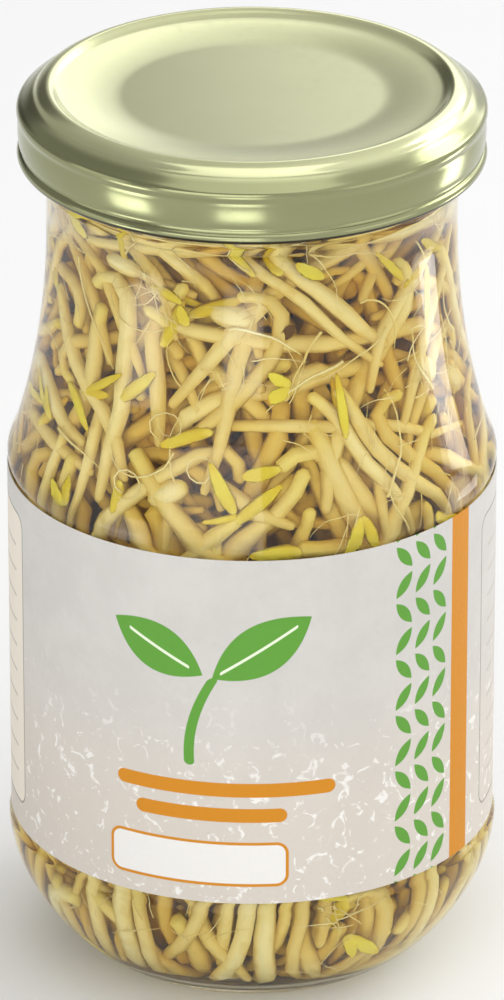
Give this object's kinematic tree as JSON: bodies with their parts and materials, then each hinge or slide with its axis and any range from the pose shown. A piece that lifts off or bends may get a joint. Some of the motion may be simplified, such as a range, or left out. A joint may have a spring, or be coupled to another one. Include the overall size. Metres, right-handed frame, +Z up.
{
  "type": "jar of bean sprouts",
  "caption": "Glass preserve jar filled with bean sprouts in brine, with a paper label and a steel twist-off lid that turns on its threads.",
  "frame": {"origin": "centre of the ring that the jar stands on", "axes": "+Z up along the jar's axis, the label's front looks along -Y"},
  "size_m": [0.071, 0.071, 0.1332],
  "materials": {
    "glass": "clear, gloss",
    "label_paper": "uncoated, matt",
    "brine": "clear amber liquid",
    "sprouts": "wet plant flesh",
    "lid_lacquer": "satin lacquer over tinplate",
    "sealing_compound": "matt"
  },
  "bodies": {
    "jar": {"glass_jar": "glass", "label": "label_paper", "brine": "brine", "sprouts": "sprouts"},
    "lid": {"lid": "lid_lacquer", "lid_sealing_ring": "sealing_compound"}
  },
  "joints": [
    {"name": "lid_twist", "type": "hinge", "parent": "jar", "child": "lid", "pos_m": [0, 0, 0.125], "axis": [0, 0, 1], "range_deg": [0, 65]}
  ]
}
